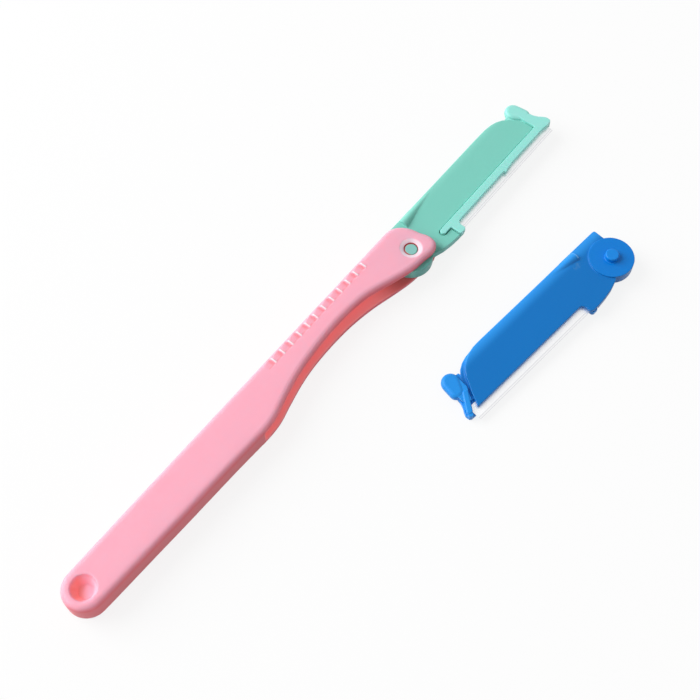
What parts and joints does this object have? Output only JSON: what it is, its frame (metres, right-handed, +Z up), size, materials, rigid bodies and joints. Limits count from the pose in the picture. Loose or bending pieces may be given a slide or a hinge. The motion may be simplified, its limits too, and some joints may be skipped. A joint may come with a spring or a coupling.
{
  "type": "folding eyebrow razor",
  "caption": "Folding eyebrow razor: slotted plastic handle, swing-out head with a clamped steel blade, and a spare blade head lying beside it.",
  "frame": {"origin": "on the rest plane under the handle's rear face, halfway along the handle", "axes": "+X along the handle towards the opened blade head, +Y towards the plain spine edge of the handle, +Z up out of the handle's front face"},
  "size_m": [0.1522, 0.0471, 0.0063],
  "materials": {
    "pink_plastic": "satin moulded plastic",
    "mint_plastic": "satin moulded plastic",
    "blade_steel": "polished strip with a ground bevel",
    "blue_plastic": "satin moulded plastic"
  },
  "bodies": {
    "handle": {"handle": "pink_plastic"},
    "head": {"head_body": "mint_plastic", "blade": "blade_steel", "clamp": "mint_plastic"},
    "spare_head": {"spare_body": "blue_plastic", "spare_blade": "blade_steel", "spare_clamp": "blue_plastic"}
  },
  "joints": [
    {"name": "fold", "type": "hinge", "parent": "handle", "child": "head", "pos_m": [0.04875, -0.00193, 0.0031], "axis": [0, 0, 1], "range_deg": [-180, 0]},
    {"name": "spare_lift", "type": "slide", "parent": "handle", "child": "spare_head", "axis": [0, 0, 1], "range_m": [0, 0.045]}
  ],
  "couplings": [
    {"joint": "spare_lift", "follows": "fold", "m_per_rad": -0.01432}
  ]
}
